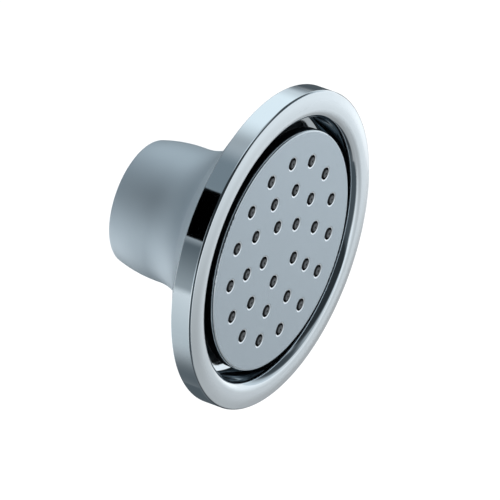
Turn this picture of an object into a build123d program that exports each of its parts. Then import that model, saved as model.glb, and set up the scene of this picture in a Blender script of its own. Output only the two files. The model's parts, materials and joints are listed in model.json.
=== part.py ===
from build123d import *
import math
import os

# Shower body jet: a bell housing on the wall, with a spray head that swivels on a ball joint.
# Lengths are in millimetres. Depths are measured from the wall, forward along the jet's axis.

# Bell housing, outside
flange_diameter = 100.0
rim_depth = 49.0            # wall to the rim's front edge
rim_width = 6.6
rim_front_edge = 0.8
crown_height = 0.8          # front ring above the rim's front edge
crown_width = 3.5           # sloping outer part of the front ring
crown_radius = 14.0
lip_radius = 3.2
sleeve_wall = 2.6           # at the sleeve's end on the wall
sleeve_end_edge = 1.5
barrel_taper = 2.1          # on the radius
barrel_length = 7.3         # wall to where the sleeve's taper would meet its straight part
flare_depth = 25.0          # wall to where the cone would meet the sleeve
flare_radius = 18.0
crisp_edge = 0.3

# Bell housing, inside
housing_wall = 2.0          # thickness of the cone
bore_gap = 0.91             # round the inlet connector
spanner_gap = 3.5           # round the retaining nut
inner_edge = 1.0
web_thickness = 2.5

# Inlet connector
socket_diameter = 20.96     # half-inch pipe thread
relief_step = 0.42          # at the socket's end, where the washer sits
hexagon_across_flats = 27.0
collar_step = 0.3           # hexagon's flats to the collar
collar_length = 3.5
flange_seat_width = 3.3     # beyond the neck
flange_seat_thickness = 3.0
neck_wall = 2.6
neck_length = 10.0          # web's back to the neck's end
passage_diameter = 9.0
passage_length = 3.6

# Pieces inside the inlet
washer_thickness = 1.5
washer_bore = 13.0
screen_step = 0.4           # screen beyond the limiter
screen_thickness = 0.4
screen_hole = 1.2
screen_pitch = 2.0
limiter_diameter = 15.0
limiter_thickness = 3.0
limiter_groove_middle = 8.8
limiter_ring_section = 1.9
limiter_hole = 1.4
limiter_hole_count = 8
gasket_thickness = 1.0

# Ball joint
ball_diameter = 18.0
ball_flat_offset = 6.0      # ball's centre to the flat at its back
ball_passage = 6.0
hub_to_ball = 12.4          # spray head's hub to the ball's centre
seal_width = 2.4
seal_offset = 7.5           # ball's centre to the seal's back
seal_length = 4.0
seat_length = 5.3
seat_bore = 12.0
seat_gap = 0.5              # neck's end to the seat ring
nut_wall = 2.9
nut_lip_thickness = 2.2
nut_opening = 16.6
nut_slot_count = 6
nut_slot_width = 4.0
nut_slot_length = 4.0
nut_slot_bite = 1.6
lock_washer_thickness = 1.0
tooth_count = 12
tooth_gap_width = 2.5
tooth_length = 1.4
stem_diameter = 9.2
stem_hexagon = 12.0
stem_hexagon_length = 2.1
stem_thread_diameter = 12.0
stem_washer_diameter = 17.6
stem_washer_thickness = 0.9

# Spray head
face_diameter = 75.4
face_gap = 3.5              # round the spray plate, for its tilt
face_proud = 0.2            # plate in front of the rim's front edge
face_edge = 0.7
face_skirt = 3.7            # length of the plate's side wall
face_thickness = 1.8
face_wall = 1.5
nozzle_ring_count = 3
nozzle_spoke_count = 5
nozzle_pitch = 9.25         # between rings
nozzle_margin = 2.4         # outer ring to the water chamber's wall
nozzle_spoke_angle = 100.7
nozzle_base = 3.2
nozzle_tip = 2.5
nozzle_jet = 0.7
nozzle_reach = 0.2          # tips in front of the plate
nozzle_gap = 0.35           # round each nozzle's base, in the plate's hole
nozzle_bevel = 0.3
countersink_width = 0.5     # round each of the plate's holes
countersink_depth = 0.18
head_depth = 6.6            # shell's flange to its hub
shell_step = 0.8            # plate's side wall beyond the shell's
shell_edge = 2.5
shell_cone_rise = 3.9
shell_floor = 1.4
seal_land = 6.3             # shell's flange, from its edge to the water chamber
hub_diameter = 19.2
hub_top_gap = 0.8           # hub to the flow plate
flow_plate_thickness = 1.8
flow_hole = 2.4
rib_count = 5
rib_thickness = 1.6
rib_turn = 18.0
screw_count = 5
screw_turn = 12.0
screw_diameter = 2.1
screw_head_diameter = 4.0
screw_head_height = 1.2
screw_seat_thickness = 1.6  # shell under each screw head
screw_bite = 2.7            # thread past the shell
post_diameter = 4.0

# Clearances, each on the radius or the gap
thread_clearance = 0.1
loose_clearance = 0.2
running_clearance = 0.2
ball_clearance = 0.3

# Spray head's places, from its front to the ball's centre
face_radius = face_diameter / 2
face_depth = rim_depth + face_proud
face_inside = face_depth - face_thickness
face_back = face_depth - face_skirt
cup_radius = face_radius - face_wall
shell_radius = face_radius - shell_step
water_radius = shell_radius - seal_land
outer_ring_radius = water_radius - nozzle_margin
screw_circle_radius = (shell_radius + water_radius) / 2
flow_plate_back = face_back - flow_plate_thickness
hub_top = flow_plate_back - hub_top_gap
hub_back = face_back - head_depth
stem_hexagon_front = hub_back - stem_washer_thickness
stem_hexagon_back = stem_hexagon_front - stem_hexagon_length
ball_depth = hub_back - hub_to_ball
screw_head_front = face_back - screw_seat_thickness
screw_tip = face_back + screw_bite

# Ball joint's and inlet's radii, from the ball outwards
ball_radius = ball_diameter / 2
chamber_radius = ball_radius + ball_clearance + thread_clearance
neck_radius = chamber_radius + neck_wall
nut_bore_radius = neck_radius + thread_clearance
nut_radius = nut_bore_radius + nut_wall
flange_seat_radius = neck_radius + flange_seat_width
relief_radius = socket_diameter / 2 + relief_step
limiter_radius = limiter_diameter / 2
screen_radius = limiter_radius + screen_step
hexagon_corner_radius = hexagon_across_flats / math.sqrt(3)

# Ball joint's places, forward from the ball's centre
seat_back = ball_depth + seat_gap
seat_front = seat_back + seat_length
nut_pocket_front = seat_front + ball_clearance
nut_front = nut_pocket_front + nut_lip_thickness

# Inlet's places, back from the ball's centre to the wall
web_depth = ball_depth - neck_length
web_front = web_depth + web_thickness
nut_back = web_front + lock_washer_thickness
flange_seat_front = web_depth - gasket_thickness
flange_seat_back = flange_seat_front - flange_seat_thickness
hexagon_front = flange_seat_back - collar_length
seal_back = ball_depth - seal_offset
limiter_front = seal_back - passage_length
limiter_back = limiter_front - limiter_thickness
groove_front = limiter_back + limiter_ring_section + loose_clearance
screen_back = limiter_back - screen_thickness
socket_depth = screen_back - washer_thickness

# Housing's places
rim_radius = flange_diameter / 2
rim_back_depth = rim_depth - rim_width
crest_depth = rim_depth + crown_height
mouth_radius = face_radius + face_gap
sleeve_bore_radius = max(flange_seat_radius, hexagon_corner_radius) + bore_gap
sleeve_end_radius = sleeve_bore_radius + sleeve_wall
sleeve_radius = sleeve_end_radius + barrel_taper


def fitted_roundings(points, roundings):
    """Roundings that fit their walls: where two meet on one side of an outline, both shrink to share it."""
    count = len(points)
    corners = [Vector(*point) for point in points]
    sides = [corners[(i + 1) % count] - corners[i] for i in range(count)]
    half_turns = [math.radians(sides[i - 1].get_angle(sides[i]) / 2) for i in range(count)]
    runs = [rounding * math.tan(half) for rounding, half in zip(roundings, half_turns)]
    shares = [0.98 * sides[i].length / max(runs[i] + runs[(i + 1) % count], 1e-9) for i in range(count)]
    return [rounding * min(1, shares[i], shares[i - 1]) for i, rounding in enumerate(roundings)]


def turned(*corners):
    """Solid turned about the jet's axis from a closed outline of (radius, depth, rounding) corners."""
    points = [corner[:2] for corner in corners]
    roundings = [corner[2] if len(corner) > 2 else 0 for corner in corners]
    outline = FilletPolyline(*points, radius=fitted_roundings(points, roundings), close=True)
    return revolve(Plane.XZ * make_face(outline), Axis.Z)


def ring(inner_radius, outer_radius, back, front, edge=0.0):
    """Plain washer or sleeve between two depths."""
    return turned(
        (inner_radius, back, edge),
        (outer_radius, back, edge),
        (outer_radius, front, edge),
        (inner_radius, front, edge),
    )


def rod(radius, back, front):
    """Solid round bar between two depths."""
    return Pos(0, 0, back) * Cylinder(radius, front - back, align=(Align.CENTER, Align.CENTER, Align.MIN))


def hexagon(across_flats, back, front):
    """Six-sided bar between two depths, with its corners turned off at both ends."""
    flat_radius = across_flats / 2
    corner_radius = flat_radius / math.cos(math.pi / 6)
    corner_height = (corner_radius - flat_radius) / 2
    bar = extrude(Pos(0, 0, back) * RegularPolygon(corner_radius, 6), front - back)
    turned_ends = turned(
        (0, back),
        (flat_radius, back),
        (corner_radius, back + corner_height),
        (corner_radius, front - corner_height),
        (flat_radius, front),
        (0, front),
    )
    return bar & turned_ends


def nozzle_places():
    """One place for each nozzle: rings that share their spokes."""
    places = []
    for step in range(nozzle_ring_count):
        radius = outer_ring_radius - step * nozzle_pitch
        count = nozzle_spoke_count * (nozzle_ring_count - step)
        places += PolarLocations(radius, count, start_angle=nozzle_spoke_angle)
    return places


def screw_places():
    """One place for each face screw, between two nozzles of the outer ring."""
    return PolarLocations(screw_circle_radius, screw_count, start_angle=nozzle_spoke_angle + screw_turn)


# The bell is one casting: barrel sleeve, flare, cone, rim, crowned ring and rolled lip,
# with a web across the sleeve that the nut clamps. The cone's wall is even.
def make_bell_housing():
    cone_slope = (rim_radius - sleeve_radius) / (rim_back_depth - flare_depth)
    cone_wall = housing_wall * math.hypot(1, cone_slope)

    def inner_cone_radius(depth):
        return rim_radius - cone_wall - (rim_back_depth - depth) * cone_slope

    def inner_cone_depth(radius):
        return rim_back_depth - (rim_radius - cone_wall - radius) / cone_slope

    taper = math.hypot(barrel_taper, barrel_length)
    taper_angle = math.asin(barrel_taper / taper)
    barrel_radius = (taper - sleeve_end_edge) / math.tan(taper_angle / 2)
    hole_radius = neck_radius + loose_clearance
    pocket_radius = max(nut_radius + spanner_gap, inner_cone_radius(web_front + inner_edge * 2))
    return turned(
        (sleeve_end_radius, 0, sleeve_end_edge),
        (sleeve_radius, barrel_length, barrel_radius),
        (sleeve_radius, flare_depth, flare_radius),
        (rim_radius, rim_back_depth, crisp_edge),
        (rim_radius, rim_depth, rim_front_edge),
        (rim_radius - crown_width, crest_depth, crown_radius),
        (mouth_radius, crest_depth, lip_radius),
        (mouth_radius, inner_cone_depth(mouth_radius), inner_edge),
        (pocket_radius, inner_cone_depth(pocket_radius), inner_edge),
        (pocket_radius, web_front, inner_edge),
        (hole_radius, web_front),
        (hole_radius, web_depth),
        (sleeve_bore_radius, web_depth, inner_edge),
        (sleeve_bore_radius, 0, crisp_edge),
    )


# Brass inlet: hexagon and socket at the wall, a flange behind the web, and a neck through it
# that holds the ball's chamber.
def make_inlet_connector():
    collar_radius = hexagon_across_flats / 2 - collar_step
    body = hexagon(hexagon_across_flats, 0, hexagon_front)
    body += turned(
        (0, hexagon_front),
        (collar_radius, hexagon_front),
        (collar_radius, flange_seat_back),
        (flange_seat_radius, flange_seat_back, crisp_edge),
        (flange_seat_radius, flange_seat_front, crisp_edge),
        (neck_radius, flange_seat_front),
        (neck_radius, ball_depth, crisp_edge),
        (0, ball_depth),
    )
    body -= rod(socket_diameter / 2, 0, socket_depth)
    body -= rod(relief_radius, socket_depth, screen_back)
    body -= rod(screen_radius + thread_clearance, screen_back, limiter_back)
    body -= rod(limiter_radius + thread_clearance, limiter_back, limiter_front)
    body -= rod(passage_diameter / 2, limiter_front, seal_back)
    body -= rod(chamber_radius, seal_back, ball_depth)
    return body


def make_inlet_washer():
    return ring(washer_bore / 2, relief_radius - loose_clearance, socket_depth, screen_back)


# Perforated disc that stops grit, held under the washer.
def make_filter_screen():
    disc = rod(screen_radius, screen_back, limiter_back)
    hole = rod(screen_hole / 2, screen_back, limiter_back)
    reach = washer_bore / 2 - screen_hole
    holes = [
        place * hole
        for place in HexLocations(screen_pitch / 2, 7, 7, major_radius=False)
        if place.position.length < reach
    ]
    return disc - holes


# Flow regulator: a cage with a groove for its rubber ring and a circle of holes under the ring.
def make_flow_limiter():
    cage = rod(limiter_radius, limiter_back, limiter_front)
    groove_half = limiter_ring_section / 2 + loose_clearance
    groove_middle = limiter_groove_middle / 2
    cage -= ring(groove_middle - groove_half, groove_middle + groove_half, limiter_back, groove_front)
    hole = rod(limiter_hole / 2, groove_front, limiter_front)
    hole_circle = min(groove_middle, (passage_diameter - limiter_hole) / 2)
    return cage - [place * hole for place in PolarLocations(hole_circle, limiter_hole_count)]


def make_limiter_o_ring():
    section_radius = limiter_ring_section / 2
    middle_depth = groove_front - section_radius
    return Pos(0, 0, middle_depth) * Torus(limiter_groove_middle / 2, section_radius)


def make_housing_gasket():
    return ring(neck_radius + loose_clearance, flange_seat_radius, flange_seat_front, web_depth)


# Toothed washer under the nut, with outside teeth.
def make_lock_washer():
    washer = ring(neck_radius + loose_clearance, nut_radius, web_front, nut_back)
    gap = Box(tooth_length * 2, tooth_gap_width, lock_washer_thickness * 3)
    gap_places = PolarLocations(nut_radius, tooth_count)
    return washer - [Pos(0, 0, nut_back) * place * gap for place in gap_places]


# Round nut with a lip in front of the ball and slots for a hook spanner.
def make_retaining_nut():
    opening_radius = nut_opening / 2
    nut = turned(
        (nut_bore_radius, nut_back),
        (nut_radius, nut_back, inner_edge / 2),
        (nut_radius, nut_front, inner_edge),
        (opening_radius + nut_lip_thickness / 2, nut_front),
        (opening_radius, nut_front - nut_lip_thickness / 2),
        (opening_radius, nut_pocket_front),
        (nut_bore_radius, nut_pocket_front),
    )
    slot = Box(nut_slot_bite * 2, nut_slot_width, nut_slot_length * 2)
    slot_places = PolarLocations(nut_radius, nut_slot_count)
    return nut - [Pos(0, 0, nut_front) * place * slot for place in slot_places]


def ball_pocket():
    """Space that the ball turns in."""
    return Pos(0, 0, ball_depth) * Sphere(ball_radius + ball_clearance)


def make_ball_seal():
    outer_radius = chamber_radius - thread_clearance
    return ring(outer_radius - seal_width, outer_radius, seal_back, seal_back + seal_length) - ball_pocket()


def make_seat_ring():
    outer_radius = nut_bore_radius - running_clearance
    return ring(seat_bore / 2, outer_radius, seat_back, seat_front) - ball_pocket()


# Hollow ball with a flat at its back, a stem, a spanner hexagon and a threaded end.
def make_swivel_ball():
    ball = Pos(0, 0, ball_depth) * Sphere(ball_radius)
    ball -= rod(ball_diameter, ball_depth - ball_diameter, ball_depth - ball_flat_offset)
    stem = rod(stem_diameter / 2, ball_depth, stem_hexagon_back)
    collar = hexagon(stem_hexagon, stem_hexagon_back, stem_hexagon_front)
    thread = rod(stem_thread_diameter / 2, stem_hexagon_front, hub_top)
    return ball + stem + collar + thread - rod(ball_passage / 2, 0, hub_top)


def make_stem_washer():
    inner_radius = stem_thread_diameter / 2 + thread_clearance
    return ring(inner_radius, stem_washer_diameter / 2, stem_hexagon_front, hub_back)


# Moulded rear half of the spray head: shallow cone at the back, water chamber with ribs inside,
# a hub for the stem and counterbores for the screws.
def make_back_shell():
    hub_radius = hub_diameter / 2
    cone_slope = shell_cone_rise / (shell_radius - hub_radius)
    hub_floor = hub_back + shell_floor
    edge_floor = hub_floor + (water_radius - hub_radius) * cone_slope
    thread_radius = stem_thread_diameter / 2 + thread_clearance
    shell = turned(
        (thread_radius, hub_back),
        (hub_radius, hub_back),
        (shell_radius, hub_back + shell_cone_rise, shell_edge),
        (shell_radius, face_back),
        (water_radius, face_back),
        (water_radius, edge_floor, inner_edge / 2),
        (hub_radius, hub_floor, inner_edge / 2),
        (hub_radius, hub_top),
        (thread_radius, hub_top),
    )
    rib_room = turned(
        (hub_radius - shell_floor, hub_floor - shell_floor / 2),
        (water_radius + shell_floor, edge_floor - shell_floor / 2),
        (water_radius + shell_floor, flow_plate_back),
        (hub_radius, flow_plate_back),
        (hub_radius - shell_floor, hub_top),
    )
    rib = Box(face_diameter, rib_thickness, face_depth * 2, align=(Align.MIN, Align.CENTER, Align.CENTER))
    rib_places = PolarLocations(0, rib_count, start_angle=nozzle_spoke_angle + rib_turn)
    shell += [rib_room & (place * rib) for place in rib_places]
    hole = rod(screw_diameter / 2 + loose_clearance, hub_back, face_back)
    counterbore = rod(screw_head_diameter / 2 + loose_clearance, hub_back, screw_head_front)
    return shell - [place * (hole + counterbore) for place in screw_places()]


def make_flow_plate():
    plate = rod(water_radius - loose_clearance, flow_plate_back, face_back)
    hole = rod(flow_hole / 2, flow_plate_back, face_back)
    return plate - [place * hole for place in nozzle_places()]


# Rubber mat with a tapered, hollow nozzle for each hole of the plate.
def make_nozzle_mat():
    mat = rod(cup_radius - loose_clearance, face_back, face_inside)
    nozzle_front = face_depth + nozzle_reach
    nozzle = turned(
        (0, face_back),
        (nozzle_base / 2, face_back),
        (nozzle_base / 2, face_inside),
        (nozzle_tip / 2, nozzle_front, nozzle_bevel),
        (0, nozzle_front),
    )
    jet = turned(
        (0, face_back),
        (flow_hole / 2, face_back),
        (nozzle_jet / 2, face_inside),
        (nozzle_jet / 2, nozzle_front),
        (0, nozzle_front),
    )
    mat += [place * nozzle for place in nozzle_places()]
    mat -= [place * jet for place in nozzle_places()]
    post_hole = rod(post_diameter / 2 + loose_clearance, face_back, face_inside)
    return mat - [place * post_hole for place in screw_places()]


# Spray plate: a shallow cup with a countersunk hole for each nozzle, and posts inside for the screws.
def make_face_plate():
    plate = turned(
        (0, face_inside),
        (cup_radius, face_inside),
        (cup_radius, face_back),
        (face_radius, face_back, crisp_edge),
        (face_radius, face_depth, face_edge),
        (0, face_depth),
    )
    hole_radius = nozzle_base / 2 + nozzle_gap
    countersunk_hole = turned(
        (0, face_inside),
        (hole_radius, face_inside),
        (hole_radius, face_depth - countersink_depth),
        (hole_radius + countersink_width, face_depth),
        (0, face_depth),
    )
    plate -= [place * countersunk_hole for place in nozzle_places()]
    post = rod(post_diameter / 2, face_back, face_inside)
    plate += [place * post for place in screw_places()]
    pilot = rod(screw_diameter / 2 + thread_clearance / 2, face_back, screw_tip + thread_clearance)
    return plate - [place * pilot for place in screw_places()]


def make_face_screws():
    head_back = screw_head_front - screw_head_height
    head_radius = screw_head_diameter / 2
    shank_radius = screw_diameter / 2
    screw = turned(
        (0, head_back),
        (head_radius, head_back, screw_head_height / 2),
        (head_radius, screw_head_front),
        (shank_radius, screw_head_front),
        (shank_radius, screw_tip),
        (0, screw_tip),
    )
    return Compound(children=[place * screw for place in screw_places()])


# The axis points forward while the pieces are made. On the wall it lies level, front towards -Y.
on_wall = Rot(90, 0, 0)

pieces = {
    "bell_housing": make_bell_housing(),
    "inlet_connector": make_inlet_connector(),
    "inlet_washer": make_inlet_washer(),
    "filter_screen": make_filter_screen(),
    "flow_limiter": make_flow_limiter(),
    "limiter_o_ring": make_limiter_o_ring(),
    "housing_gasket": make_housing_gasket(),
    "lock_washer": make_lock_washer(),
    "retaining_nut": make_retaining_nut(),
    "ball_seal": make_ball_seal(),
    "seat_ring": make_seat_ring(),
    "swivel_ball": make_swivel_ball(),
    "stem_washer": make_stem_washer(),
    "back_shell": make_back_shell(),
    "flow_plate": make_flow_plate(),
    "nozzle_mat": make_nozzle_mat(),
    "face_plate": make_face_plate(),
    "face_screws": make_face_screws(),
}

os.makedirs("parts", exist_ok=True)
for name, piece in pieces.items():
    export_step(on_wall * piece, f"parts/{name}.step")
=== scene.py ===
import json
import math

import bpy
import numpy as np
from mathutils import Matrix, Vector


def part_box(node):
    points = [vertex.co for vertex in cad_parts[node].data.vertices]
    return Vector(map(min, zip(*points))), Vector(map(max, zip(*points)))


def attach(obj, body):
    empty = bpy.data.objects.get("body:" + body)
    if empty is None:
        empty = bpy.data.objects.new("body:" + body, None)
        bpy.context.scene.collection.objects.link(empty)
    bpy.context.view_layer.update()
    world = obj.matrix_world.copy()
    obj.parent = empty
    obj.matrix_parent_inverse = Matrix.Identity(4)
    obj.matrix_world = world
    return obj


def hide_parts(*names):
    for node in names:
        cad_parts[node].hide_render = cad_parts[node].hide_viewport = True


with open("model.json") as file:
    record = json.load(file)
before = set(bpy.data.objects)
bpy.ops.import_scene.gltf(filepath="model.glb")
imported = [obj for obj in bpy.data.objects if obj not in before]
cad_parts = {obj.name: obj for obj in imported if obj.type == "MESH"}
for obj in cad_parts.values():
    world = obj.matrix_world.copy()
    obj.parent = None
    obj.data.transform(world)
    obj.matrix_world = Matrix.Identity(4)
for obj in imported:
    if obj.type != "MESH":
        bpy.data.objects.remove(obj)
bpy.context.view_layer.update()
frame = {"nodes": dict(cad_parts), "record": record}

nodes = frame["nodes"]


# Inlet connector and retaining nut
# Turned and milled from brass bar: the connector screws onto the pipe in the wall, the slotted nut onto
# its neck. The brass is bare: the tool has left fine rings round the axis, and it has dulled in patches.
clean_brass = (0.80, 0.57, 0.26)
dull_brass = (0.58, 0.39, 0.17)
clean_brass_roughness = 0.24
dull_brass_adds = 0.18
brass_rings_add = 0.06
dull_patches_per_metre = 220
brass_rings_per_metre = 9000
brass_drift_per_metre = 40
brass_ring_height = 0.00002


class Wire:
    """An output socket of a node tree. Arithmetic on it adds Math nodes, and node() adds any other node."""

    def __init__(self, tree, socket=None):
        self.tree = tree
        self.socket = socket

    def node(self, kind, settings, inputs, output=0):
        """A new node of that kind: its settings are set first, then its inputs get their values or links.
        The result is a wire from one of its outputs, or nothing where it has none."""
        made = self.tree.nodes.new(kind)
        for name, value in settings.items():
            setattr(made, name, value)
        for name, value in inputs.items():
            if isinstance(value, Wire):
                self.tree.links.new(value.socket, made.inputs[name])
            else:
                made.inputs[name].default_value = value
        return Wire(self.tree, made.outputs[output]) if made.outputs else None

    def maths(self, operation, *values):
        """A Math node on these values or wires."""
        return self.node("ShaderNodeMath", {"operation": operation}, dict(enumerate(values)))

    def __add__(self, other):
        return self.maths("ADD", self, other)

    def __radd__(self, other):
        return self.maths("ADD", other, self)

    def __sub__(self, other):
        return self.maths("SUBTRACT", self, other)

    def __rsub__(self, other):
        return self.maths("SUBTRACT", other, self)

    def __mul__(self, other):
        return self.maths("MULTIPLY", self, other)

    def __rmul__(self, other):
        return self.maths("MULTIPLY", other, self)

    def stretched(self, scale):
        """This vector with each of its parts scaled."""
        return self.node("ShaderNodeVectorMath", {"operation": "MULTIPLY"}, {0: self, 1: scale})

    def length(self):
        """The length of this vector."""
        return self.node("ShaderNodeVectorMath", {"operation": "LENGTH"}, {0: self}, "Value")

    def along(self, axis):
        """The X, Y or Z part of this vector."""
        return self.node("ShaderNodeSeparateXYZ", {}, {0: self}, axis)

    def noise(self, scale, detail):
        """Soft noise from 0 to 1 at this place, with features about 1 / scale across in the place's units."""
        return self.node("ShaderNodeTexNoise", {}, {"Vector": self, "Scale": scale, "Detail": detail})

    def rise(self, low, high):
        """0 where this value is below low, 1 where it is above high, and smooth between them."""
        return self.node(
            "ShaderNodeMapRange",
            {"interpolation_type": "SMOOTHSTEP"},
            {"Value": self, "From Min": low, "From Max": high},
        )

    def tint(self, low, high):
        """Colour that goes from low to high, each a colour or a wire, as this value goes from 0 to 1."""
        factor, first_colour, second_colour, mixed_colour = 0, 6, 7, 2
        low, high = [end if isinstance(end, Wire) else (*end, 1) for end in (low, high)]
        inputs = {factor: self, first_colour: low, second_colour: high}
        return self.node("ShaderNodeMix", {"data_type": "RGBA"}, inputs, mixed_colour)

    def relief(self, depth):
        """Surface normal of a relief whose height is this value times depth, in metres."""
        return self.node("ShaderNodeBump", {}, {"Strength": 1.0, "Distance": depth, "Height": self}, "Normal")


def empty_material(name):
    """New material without nodes, and a wire to start its nodes from."""
    material = bpy.data.materials.new(name)
    material.use_nodes = True
    material.node_tree.nodes.clear()
    return material, Wire(material.node_tree)


def finish(name, sockets):
    """Material whose shader takes the sockets that a function of the object's own coordinates gives."""
    material, wire = empty_material(name)
    place = wire.node("ShaderNodeTexCoord", {}, {}, "Object")
    shader = wire.node("ShaderNodeBsdfPrincipled", {}, sockets(place))
    wire.node("ShaderNodeOutputMaterial", {}, {"Surface": shader})
    return material


def bare_brass(place):
    """Dull patches a few millimetres across, and turning rings: noise squeezed along the axis."""
    dull = place.noise(dull_patches_per_metre, 4).rise(0.35, 0.7)
    squeeze = (brass_drift_per_metre, brass_rings_per_metre, brass_drift_per_metre)
    rings = place.stretched(squeeze).noise(1.0, 3)
    return {
        "Base Color": dull.tint(clean_brass, dull_brass),
        "Metallic": 1.0,
        "Roughness": clean_brass_roughness + dull_brass_adds * dull + brass_rings_add * rings,
        "Normal": rings.relief(brass_ring_height),
    }


def dress(material, *names):
    """Gives CAD pieces their finish."""
    for name in names:
        nodes[name].data.materials.clear()
        nodes[name].data.materials.append(material)


brass = finish("bare_brass", bare_brass)
dress(brass, "inlet_connector", "retaining_nut")


# Socket thread
# Half-inch pipe thread cut inside the connector's socket, in the same brass.
# A helical ridge with narrow crests, which runs out at both ends.
thread_pitch = 0.001814
thread_depth = 0.00116
thread_sink = 0.00005
thread_start = 0.0006
thread_turns = 5
thread_fade_turns = 0.4
thread_least_height = 0.05
thread_half_root = 0.46 * thread_pitch
thread_half_crest = 0.07 * thread_pitch
thread_steps_per_turn = 72
smooth_limit = math.radians(35)


def grid_faces(rows, columns, close_rows, close_columns):
    """Four-sided faces of a grid of points, worked out as whole index arrays, with its rows or columns joined
    up or not."""
    row_starts = np.arange(rows - (not close_rows))
    column_starts = np.arange(columns - (not close_columns))
    row, column = np.meshgrid(row_starts, column_starts, indexing="ij")
    next_row, next_column = (row + 1) % rows, (column + 1) % columns
    corners = [(row, column), (next_row, column), (next_row, next_column), (row, next_column)]
    return np.stack([r * columns + c for r, c in corners], axis=-1).reshape(-1, 4).tolist()


def mesh_object(name, points, faces, material):
    """Mesh object at the origin, from points and the indices of its faces."""
    mesh = bpy.data.meshes.new(name)
    mesh.from_pydata(points.reshape(-1, 3).tolist(), [], faces)
    mesh.materials.append(material)
    made = bpy.data.objects.new(name, mesh)
    bpy.context.scene.collection.objects.link(made)
    return made


def new_piece(name, points, faces, body, material):
    """Piece that rides on a CAD body, smooth except at edges sharper than a limit."""
    piece = mesh_object(name, points, faces, material)
    piece.data.shade_smooth()
    piece.data.set_sharp_from_angle(angle=smooth_limit)
    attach(piece, body)
    return piece


def thread_ridge(wall_radius):
    """Ridge of four-sided section along a helix: after t turns its middle is at angle 2 pi t and depth
    start + pitch (t + 1/2), and its crest stands inward by the thread's depth, less and less at both ends."""
    turn = np.linspace(0, thread_turns, thread_turns * thread_steps_per_turn + 1)[:, None]
    turns_to_end = np.minimum(turn, thread_turns - turn)
    fade = np.clip(turns_to_end / thread_fade_turns, thread_least_height, 1)
    along = np.array([-thread_half_root, -thread_half_crest, thread_half_crest, thread_half_root])
    inward = np.array([0.0, 1.0, 1.0, 0.0])
    radius = wall_radius + thread_sink - inward * fade * (thread_depth + thread_sink)
    depth = thread_start + thread_pitch * (turn + 0.5) + along * fade
    angle = 2 * np.pi * turn
    return np.stack([radius * np.sin(angle), -depth, radius * np.cos(angle)], axis=-1)


inlet_mount = next(mount for mount in frame["record"]["mounts"] if mount["name"] == "inlet_thread")
ridge = thread_ridge(inlet_mount["dims"]["r_mm"] / 1000)
ridge_rows, ridge_corners = ridge.shape[:2]
last_point = ridge_rows * ridge_corners - 1
first_end = list(range(ridge_corners))
last_end = [last_point - corner for corner in first_end]
ridge_faces = grid_faces(ridge_rows, ridge_corners, False, True) + [first_end, last_end]
new_piece("socket_thread", ridge, ridge_faces, "wall_body", brass)


# Rubber seals
# Pressed washers, rings and a cup seal, moulded in black rubber, each clamped by its neighbours.
# The rubber is matt, with a paler bloom in places.
fresh_rubber = (0.018, 0.018, 0.019)
bloomed_rubber = (0.05, 0.05, 0.052)
rubber_roughness = 0.55
bloom_adds = 0.2
rubber_grain_adds = 0.08
bloom_patches_per_metre = 900
rubber_grains_per_metre = 6000
rubber_grain_height = 0.00002


def black_rubber(place):
    """Bloom in patches a millimetre across, over a fine moulded grain."""
    bloom = place.noise(bloom_patches_per_metre, 4).rise(0.45, 0.75)
    grain = place.noise(rubber_grains_per_metre, 2)
    return {
        "Base Color": bloom.tint(fresh_rubber, bloomed_rubber),
        "Roughness": rubber_roughness + bloom_adds * bloom + rubber_grain_adds * grain,
        "Normal": grain.relief(rubber_grain_height),
    }


dress(
    finish("black_rubber", black_rubber),
    "inlet_washer", "limiter_o_ring", "housing_gasket", "ball_seal", "stem_washer",
)


# Stainless pieces
# The filter screen and the toothed lock washer are stamped from stainless sheet, and the face screws are
# formed from stainless wire. The metal has a fine grain that runs one way.
dark_steel = (0.50, 0.50, 0.49)
pale_steel = (0.66, 0.66, 0.65)
steel_roughness = 0.22
steel_grain_adds = 0.2
steel_grains_per_metre = (240, 6000, 6000)
steel_grain_height = 0.00001


def plain_stainless(place):
    """Rolling grain: noise drawn out along X, which also turns the roughness."""
    grain = place.stretched(steel_grains_per_metre).noise(1.0, 4)
    return {
        "Base Color": grain.tint(dark_steel, pale_steel),
        "Metallic": 1.0,
        "Roughness": steel_roughness + steel_grain_adds * grain,
        "Normal": grain.relief(steel_grain_height),
    }


dress(finish("plain_stainless", plain_stainless), "filter_screen", "lock_washer", "face_screws")


# White plastic pieces
# The flow limiter's cage, the seat ring that the ball turns in and the flow plate are moulded acetal.
# Smooth and slightly waxy, a little yellower in places.
white_plastic = (0.80, 0.80, 0.76)
yellowed_plastic = (0.74, 0.73, 0.68)
acetal_roughness = 0.34
acetal_texture_adds = 0.1
yellow_patches_per_metre = 160
acetal_grains_per_metre = 3500
acetal_grain_height = 0.00001


def white_acetal(place):
    """Slow change of tone over some millimetres, and a faint moulded texture."""
    tone = place.noise(yellow_patches_per_metre, 3).rise(0.3, 0.7)
    texture = place.noise(acetal_grains_per_metre, 2)
    return {
        "Base Color": tone.tint(white_plastic, yellowed_plastic),
        "Roughness": acetal_roughness + acetal_texture_adds * texture,
        "Normal": texture.relief(acetal_grain_height),
    }


dress(finish("white_acetal", white_acetal), "flow_limiter", "seat_ring", "flow_plate")


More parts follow.
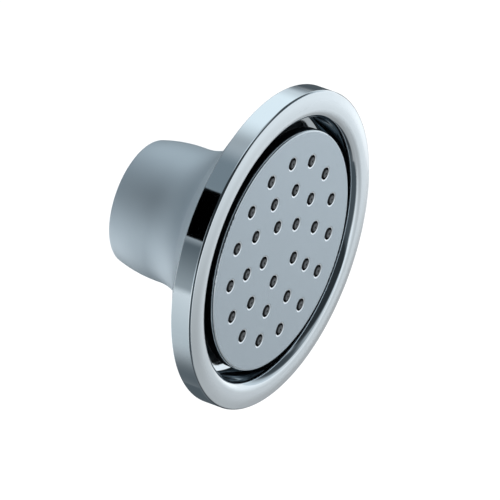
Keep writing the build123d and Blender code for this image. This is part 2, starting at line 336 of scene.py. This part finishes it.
# Bell housing
# One brass casting, turned and chrome plated: barrel sleeve, flare, cone, rim, crowned ring and rolled lip.
# The ring and rim are buffed to a mirror, the sleeve and cone are left softer, and the inside is rougher,
# with painted shade that darkens it deep in the bell.
housing_wall = 0.002
web_thickness = 0.0025
web_depth = 0.0165
rim_width = 0.0066
crown_height = 0.0008
crown_width = 0.0035
sleeve_radius = 0.0212
sleeve_end_radius = 0.0191
sleeve_bore_radius = 0.0165
flare_depth = 0.025
barrel_length = 0.0073
mouth_radius = 0.0412
pocket_radius = 0.0185
neck_hole_radius = 0.0122
sleeve_end_edge = 0.0015
flare_round = 0.018
crisp_edge = 0.0003
rim_front_edge = 0.0008
crown_round = 0.014
lip_round = 0.0032
inner_edge = 0.001
turning_segments = 256
arc_step = math.radians(3)
side_step = 0.0015
end_step = 0.00006
shortest_side = 3 * end_step

soft_chrome = (0.63, 0.715, 0.775)
mirror_chrome = (0.68, 0.755, 0.805)
# Painted shade: the dark colour deep inside the bell.
bell_shade_chrome = (0.10, 0.105, 0.11)
soft_roughness = 0.58
soft_haze_adds = 0.06
mirror_roughness = 0.03
mirror_haze_adds = 0.03
dull_adds = 0.25
haze_patches_per_metre = 130
peel_ripples_per_metre = 420
peel_height = 0.0000015
buffed_edge = 0.0004
shade_depth = 0.014
shade_fade = 0.006

housing_low, housing_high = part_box("bell_housing")
rim_radius = housing_high.x
crest_depth = -housing_low.y
rim_depth = crest_depth - crown_height
rim_back_depth = rim_depth - rim_width


def rounded_outline(corners):
    """Closed outline of (radius, depth, rounding) corners. Each corner becomes an arc tangent to its two
    sides, which starts rounding * tan(half the turn) from the corner. The sides get points near the arcs."""
    points = np.array([corner[:2] for corner in corners])
    roundings = np.array([corner[2] for corner in corners])
    to_next = np.roll(points, -1, axis=0) - points
    lengths = np.linalg.norm(to_next, axis=1)
    ahead = to_next / lengths[:, None]
    behind = np.roll(ahead, 1, axis=0)
    turns = np.arctan2(
        behind[:, 0] * ahead[:, 1] - behind[:, 1] * ahead[:, 0],
        (behind * ahead).sum(axis=1),
    )
    runs = roundings * np.tan(np.abs(turns) / 2)
    stretches = []
    for i, point in enumerate(points):
        following = (i + 1) % len(points)
        inward = np.array([-behind[i, 1], behind[i, 0]]) * np.sign(turns[i])
        across = np.array([-inward[1], inward[0]])
        steps = max(1, round(abs(turns[i]) / arc_step)) if roundings[i] else 0
        swept = np.linspace(0, turns[i], steps + 1)[:, None]
        centre = point - behind[i] * runs[i] + inward * roundings[i]
        stretches.append(centre - roundings[i] * (inward * np.cos(swept) + across * np.sin(swept)))
        straight = lengths[i] - runs[i] - runs[following]
        if straight > shortest_side:
            inner_steps = max(1, round(straight / side_step))
            places = np.linspace(end_step, straight - end_step, inner_steps + 1)[:, None]
            stretches.append(point + ahead[i] * (runs[i] + places))
    return np.concatenate(stretches)


def turned_surface(outline, segments):
    """Outline turned about the jet's axis: at angle a, a point of radius r and depth w goes to
    (r sin a, -w, r cos a)."""
    angle = np.linspace(0, 2 * np.pi, segments, endpoint=False)
    radius, depth = outline[:, :1], outline[:, 1:]
    return np.stack(
        [radius * np.sin(angle), np.repeat(-depth, segments, axis=1), radius * np.cos(angle)], axis=-1
    )


def housing_outline():
    """Outline of the casting's section, round the outside from the wall to the lip and back inside. The inner
    cone keeps the wall's thickness, and the barrel's arc ends where the sleeve's end edge starts."""
    slope = (rim_radius - sleeve_radius) / (rim_back_depth - flare_depth)
    cone_wall = housing_wall * math.hypot(1, slope)
    taper = math.hypot(sleeve_radius - sleeve_end_radius, barrel_length)
    taper_angle = math.asin((sleeve_radius - sleeve_end_radius) / taper)
    barrel_radius = (taper - sleeve_end_edge) / math.tan(taper_angle / 2)
    web_front = web_depth + web_thickness

    def inner_cone_depth(radius):
        return rim_back_depth - (rim_radius - cone_wall - radius) / slope

    return rounded_outline([
        (sleeve_end_radius, 0, sleeve_end_edge),
        (sleeve_radius, barrel_length, barrel_radius),
        (sleeve_radius, flare_depth, flare_round),
        (rim_radius, rim_back_depth, crisp_edge),
        (rim_radius, rim_depth, rim_front_edge),
        (rim_radius - crown_width, crest_depth, crown_round),
        (mouth_radius, crest_depth, lip_round),
        (mouth_radius, inner_cone_depth(mouth_radius), inner_edge),
        (pocket_radius, inner_cone_depth(pocket_radius), inner_edge),
        (pocket_radius, web_front, inner_edge),
        (neck_hole_radius, web_front, 0),
        (neck_hole_radius, web_depth, 0),
        (sleeve_bore_radius, web_depth, inner_edge),
        (sleeve_bore_radius, 0, crisp_edge),
    ])


def chrome_plate(place):
    """Mirror on the rim and ring, softer behind the rim's back edge, and rougher inside the bell, where
    painted shade darkens the colour deep in, by two masks that are the casting's own attributes. Slow noise
    leaves the plate a little hazy and uneven."""
    buffed = place.node("ShaderNodeAttribute", {"attribute_name": "buffed"}, {}, "Fac")
    inside = place.node("ShaderNodeAttribute", {"attribute_name": "inside"}, {}, "Fac")
    haze = place.noise(haze_patches_per_metre, 4)
    peel = place.noise(peel_ripples_per_metre, 1)
    soft = soft_roughness + soft_haze_adds * haze
    mirror = mirror_roughness + mirror_haze_adds * haze
    return {
        # Deep inside the bell the colour turns to painted shade.
        "Base Color": inside.tint(buffed.tint(soft_chrome, mirror_chrome), bell_shade_chrome),
        "Metallic": 1.0,
        "Roughness": soft * (1 - buffed) + mirror * buffed + dull_adds * inside,
        "Normal": peel.relief(peel_height),
    }


section = housing_outline()
bell = new_piece(
    "bell_casting",
    turned_surface(section, turning_segments),
    grid_faces(len(section), turning_segments, True, True),
    "wall_body",
    finish("chrome_plate", chrome_plate),
)
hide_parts("bell_housing")

section_depth = section[:, 1]
past_lip = np.arange(len(section)) > np.argmax(section_depth)
behind_rim = np.clip((rim_back_depth - section_depth) / buffed_edge, 0, 1) * ~past_lip
# Mask of the painted shade deep inside the bell, which also roughens it there.
deep_inside = np.clip((crest_depth - shade_depth - section_depth) / shade_fade, 0, 1) * past_lip
row_masks = {"buffed": (1 - behind_rim) * (1 - deep_inside), "inside": deep_inside}
for mask_name, row_values in row_masks.items():
    point_values = np.repeat(row_values, turning_segments).astype(np.float32)
    bell.data.attributes.new(mask_name, "FLOAT", "POINT").data.foreach_set("value", point_values)


# Swivel ball
# Hollow brass ball and stem, turned in one piece and chrome plated, held between the seal and the seat ring.
# Bright plate, with faint rings from the lathe under it.
ball_plate = (0.72, 0.76, 0.79)
hazy_ball_plate = (0.78, 0.81, 0.84)
ball_roughness = 0.08
ball_haze_adds = 0.08
ball_rings_add = 0.05
ball_rings_per_metre = (30, 5000, 30)
ball_haze_per_metre = 300
ball_ring_height = 0.000004


def plated_ball(place):
    """Turning rings along the axis under a bright, slightly hazy plate."""
    rings = place.stretched(ball_rings_per_metre).noise(1.0, 2)
    haze = place.noise(ball_haze_per_metre, 3)
    return {
        "Base Color": haze.tint(ball_plate, hazy_ball_plate),
        "Metallic": 1.0,
        "Roughness": ball_roughness + ball_haze_adds * haze + ball_rings_add * rings,
        "Normal": rings.relief(ball_ring_height),
    }


dress(finish("plated_ball", plated_ball), "swivel_ball")


# Back shell
# Moulded rear half of the spray head, in black plastic with a fine moulded grain.
# Five screws pull it against the spray plate.
matt_black = (0.012, 0.012, 0.014)
sheen_black = (0.022, 0.022, 0.025)
shell_roughness = 0.42
shell_sheen_adds = 0.16
shell_grain_adds = 0.1
shell_grains_per_metre = 5200
sheen_patches_per_metre = 120
shell_grain_height = 0.00002


def black_moulding(place):
    """Fine grain from the mould, with a slow change of sheen."""
    grain = place.noise(shell_grains_per_metre, 3)
    sheen = place.noise(sheen_patches_per_metre, 2)
    return {
        "Base Color": sheen.tint(matt_black, sheen_black),
        "Roughness": shell_roughness + shell_sheen_adds * sheen + shell_grain_adds * grain,
        "Normal": grain.relief(shell_grain_height),
    }


dress(finish("black_moulding", black_moulding), "back_shell")


# Nozzle mat
# One soft moulding in dark grey rubber, with a tapered nozzle for each hole of the spray plate.
# Matt, with painted light that makes the tips paler, unevenly from one tip to the next.
tip_depth = -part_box("nozzle_mat")[0].y
tip_light_start = 0.00022
tip_light_full = 0.00003
dark_nozzle = (0.015, 0.016, 0.017)
# Painted light: the paler colour of the nozzle tips.
painted_lit_nozzle = (0.085, 0.092, 0.098)
faintest_tip_light = 0.6
nozzle_roughness = 0.5
tip_roughness_adds = 0.15
nozzle_grain_adds = 0.1
tip_light_patches_per_metre = 700
nozzle_grains_per_metre = 5000
nozzle_grain_height = 0.00001


def nozzle_rubber(place):
    """Moulded grain, with painted light that makes each tip's flat end paler and a little rougher, but not
    its rounded edge, unevenly from one tip to the next."""
    grain = place.noise(nozzle_grains_per_metre, 2)
    near_tip = (0 - place.along("Y")).rise(tip_depth - tip_light_start, tip_depth - tip_light_full)
    patches = place.noise(tip_light_patches_per_metre, 3).rise(0.3, 0.75)
    # Painted light on each tip's flat end, uneven from tip to tip.
    tip_light = near_tip * (faintest_tip_light + (1 - faintest_tip_light) * patches)
    return {
        "Base Color": tip_light.tint(dark_nozzle, painted_lit_nozzle),
        "Roughness": nozzle_roughness + tip_roughness_adds * tip_light + nozzle_grain_adds * grain,
        "Normal": grain.relief(nozzle_grain_height),
    }


dress(finish("nozzle_rubber", nozzle_rubber), "nozzle_mat")


# Spray plate
# A shallow pressed cup with a countersunk hole for each nozzle, satin chrome plated. The front is finely
# blasted, its edge and the countersinks are bright, and the side and the holes are painted dark as shade.
plate_low, plate_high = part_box("face_plate")
front_depth = -plate_low.y
edge_start = plate_high.x - 0.0008
edge_fade = 0.0002
blasted_skin = 0.00003
bright_skin = 0.00008
shade_start_skin = 0.0004
full_shade_skin = 0.0012
# Painted shade: the colour of the plate's side and of the holes more than a millimetre deep.
plate_shade_chrome = (0.10, 0.11, 0.12)
bright_chrome = (0.70, 0.77, 0.82)
satin_chrome = (0.44, 0.525, 0.59)
bright_chrome_roughness = 0.08
edge_adds = 0.14
satin_adds = 0.10
blast_adds = 0.04
satin_tone_adds = 0.04
blast_pits_per_metre = 4500
satin_tones_per_metre = 90
blast_height = 0.000006


def satin_plate(place):
    """Three bands by depth behind the front, which blend smoothly: blasted, bright and painted shade. Fine
    noise roughens the blasted one, slow noise changes its tone, and the rounded outer edge is a little
    softer."""
    blast = place.noise(blast_pits_per_metre, 3)
    tone = place.noise(satin_tones_per_metre, 3)
    depth = 0 - place.along("Y")
    radius = place.stretched((1, 0, 1)).length()
    blasted = depth.rise(front_depth - bright_skin, front_depth - blasted_skin)
    # Painted shade that starts 0.4 mm behind the front and is full at 1.2 mm.
    unshaded = depth.rise(front_depth - full_shade_skin, front_depth - shade_start_skin)
    at_edge = radius.rise(edge_start, edge_start + edge_fade)
    satin = satin_adds + blast_adds * blast + satin_tone_adds * tone
    return {
        "Base Color": blasted.tint(unshaded.tint(plate_shade_chrome, bright_chrome), satin_chrome),
        "Metallic": 1.0,
        "Roughness": bright_chrome_roughness + edge_adds * at_edge + blasted * satin,
        "Normal": blast.relief(blast_height),
    }


dress(finish("satin_plate", satin_plate), "face_plate")


# Floor and room
# A pale floor well below the jet, which is fixed to a wall on the real thing, and a room that is palest at
# the horizon and overhead. The floor is white to the camera and in reflections, and keeps the jet's shadow.
floor_drop = 0.50
floor_half = 12.0
floor_white = 0.62
floor_colour = (0.95, 0.955, 0.96, 1)
room_colour = (0.88, 0.95, 1.0, 1)
horizon_level = 0.85
upper_drop = 0.42
zenith_gain = 0.70
overhead_strength = 2.4
overhead_spread = math.radians(80)


def stage_object(name, points, material):
    """One flat four-sided stage piece."""
    piece = mesh_object(name, points, [[0, 1, 2, 3]], material)
    return piece


pale_floor, wire = empty_material("pale_floor")
camera_ray, glossy_ray, transmission_ray = [
    wire.node("ShaderNodeLightPath", {}, {}, ray)
    for ray in ("Is Camera Ray", "Is Glossy Ray", "Is Transmission Ray")
]
seen = wire.maths("MINIMUM", camera_ray + glossy_ray + transmission_ray, 1.0)
lit = wire.node("ShaderNodeBsdfDiffuse", {}, {"Color": floor_colour})
white = wire.node("ShaderNodeEmission", {}, {"Color": (1, 1, 1, 1), "Strength": 1.0})
mixed = wire.node("ShaderNodeMixShader", {}, {0: seen * floor_white, 1: lit, 2: white})
wire.node("ShaderNodeOutputMaterial", {}, {"Surface": mixed})
floor_square = np.array([(-1, -1, 0), (1, -1, 0), (1, 1, 0), (-1, 1, 0)]) * floor_half
stage_object("floor", floor_square - (0, 0, floor_drop), pale_floor)

world = bpy.data.worlds.new("room")
bpy.context.scene.world = world
world.use_nodes = True
world.node_tree.nodes.clear()
wire = Wire(world.node_tree)
height = wire.node("ShaderNodeTexCoord", {}, {}, "Generated").along("Z")
room_level = horizon_level - upper_drop * height.rise(0.0, 0.30) + zenith_gain * height.rise(0.85, 1.0)
room = wire.node("ShaderNodeBackground", {}, {"Color": room_colour, "Strength": room_level})
wire.node("ShaderNodeOutputWorld", {}, {"Surface": room})

overhead_data = bpy.data.lights.new("overhead", "SUN")
overhead_data.energy = overhead_strength
overhead_data.angle = overhead_spread
overhead = bpy.data.objects.new("overhead", overhead_data)
overhead.visible_glossy = False
bpy.context.scene.collection.objects.link(overhead)


# Cards round the jet
# Flat cards that the chrome reflects: soft white panels, greys and dark flags, each facing the jet with soft
# edges. They stand outside the picture, and neither the camera nor the floor's light meets them.
jet_middle = np.array([0.0, -0.035, 0.0])
slate = (0.75, 0.9, 1.0)
daylight = (0.9, 0.97, 1.0)


def card(name, longitude, latitude, distance, size, brightness, softness, colour=(1, 1, 1)):
    """Rectangle that faces the jet: its centre lies at a longitude from +X towards +Y and a latitude above
    the horizon, both in degrees, and its light fades to nothing over the given share of its half size."""
    a, b = math.radians(longitude), math.radians(latitude)
    outward = np.array([math.cos(b) * math.cos(a), math.cos(b) * math.sin(a), math.sin(b)])
    sideways = np.array([-math.sin(a), math.cos(a), 0])
    upward = np.cross(outward, sideways)
    corner_uv = np.array([(0, 0), (0, 1), (1, 1), (1, 0)], dtype=np.float32)
    across = (corner_uv[:, :1] - 0.5) * size[0] * sideways
    corners = jet_middle + outward * distance + across + (corner_uv[:, 1:] - 0.5) * size[1] * upward
    material, wire = empty_material(name)
    place = wire.node("ShaderNodeTexCoord", {}, {}, "UV")
    to_edge = [0.5 - wire.maths("ABSOLUTE", place.along(axis) - 0.5) for axis in "XY"]
    solid = to_edge[0].rise(0.0, softness / 2) * to_edge[1].rise(0.0, softness / 2)
    clear = wire.node("ShaderNodeBsdfTransparent", {}, {})
    glow = wire.node("ShaderNodeEmission", {}, {"Color": (*colour, 1), "Strength": brightness})
    mixed = wire.node("ShaderNodeMixShader", {}, {0: solid, 1: clear, 2: glow})
    wire.node("ShaderNodeOutputMaterial", {}, {"Surface": mixed})
    piece = stage_object(name, corners, material)
    piece.data.uv_layers.new(name="card").data.foreach_set("uv", corner_uv.ravel())
    piece.visible_camera = False
    piece.visible_diffuse = False
    piece.visible_shadow = False


card("panel_right", 9, -25, 0.9, (1.22, 0.47), 1.25, 0.48)
card("grey_right", 2, -44, 0.45, (0.60, 0.32), 0.48, 0.9)
card("flag_right", 4.6, -18.6, 0.392, (0.16, 0.20), 0.04, 0.5, slate)
card("panel_back_right", 35, 36, 1.2, (1.14, 1.6), 1.12, 0.67, daylight)
card("flag_back_left", 142, 39, 1.2, (0.55, 0.62), 0.0, 0.05)
card("flag_behind", 41, -37, 0.36, (0.34, 0.89), 0.12, 0.24, slate)
card("flag_left", -127, 43, 0.45, (1.1, 1.17), 0.04, 0.37, slate)
card("flag_left_low", -142, -25, 0.45, (0.80, 0.79), 0.10, 0.5, slate)
card("slate_under_left", -150, -60, 0.42, (0.40, 0.40), 0.10, 0.8, slate)
card("grey_below", -47, -89, 0.42, (0.95, 0.95), 0.40, 0.5)
card("flag_below", -51, -82, 0.40, (0.64, 0.20), 0.05, 0.6, slate)
card("grey_left", 147, -26, 0.36, (0.30, 0.80), 0.66, 0.9, daylight)
card("panel_low_left", 106.3, -43.1, 0.293, (0.24, 0.16), 1.5, 0.7)
card("slate_low_left", 128, -70, 0.30, (0.44, 0.40), 0.14, 1.0, slate)
card("slate_top", 120, 60, 1.3, (1.5, 0.56), 0.30, 0.68, slate)
card("slate_back_left", 146.6, 7, 1.25, (0.52, 0.83), 0.17, 0.31, slate)
card("slate_behind", 88, -1, 1.2, (1.43, 1.38), 0.20, 0.36, slate)
card("grey_front", -65, -42, 0.45, (0.80, 0.79), 0.51, 1.0)
card("panel_front", -62, 3, 0.9, (0.97, 0.29), 0.84, 0.7)
card("flag_front", -24, 34, 0.9, (1.6, 0.84), 0.08, 0.55, slate)


# Camera
# A long lens from the upper left of the jet, so that the picture is almost free of perspective.
# It is aimed so that the middle of the rim falls on its place in the photograph.
photo_size = 500
camera_azimuth = math.radians(-57.5)
camera_elevation = math.radians(34.7)
camera_distance = 3.3
camera_lens = 798.0
camera_sensor = 36.0
camera_reach = 100
rim_centre_pixel = (280.7, 250.7)

back = Vector((
    math.sin(camera_azimuth) * math.cos(camera_elevation),
    -math.cos(camera_azimuth) * math.cos(camera_elevation),
    math.sin(camera_elevation),
))
right = Vector((math.cos(camera_azimuth), math.sin(camera_azimuth), 0))
up = back.cross(right)
metres_per_pixel = camera_distance * camera_sensor / camera_lens / photo_size
rim_centre = Vector((0, -rim_depth, 0))
aim = (
    rim_centre
    - right * (rim_centre_pixel[0] - photo_size / 2) * metres_per_pixel
    + up * (rim_centre_pixel[1] - photo_size / 2) * metres_per_pixel
)
camera_data = bpy.data.cameras.new("camera")
camera_data.lens = camera_lens
camera_data.sensor_width = camera_sensor
camera_data.clip_end = camera_reach
camera = bpy.data.objects.new("camera", camera_data)
camera.location = aim + back * camera_distance
camera.rotation_mode = "QUATERNION"
camera.rotation_quaternion = back.to_track_quat("Z", "Y")
bpy.context.scene.collection.objects.link(camera)
bpy.context.scene.camera = camera
bpy.context.scene.view_settings.view_transform = "Standard"
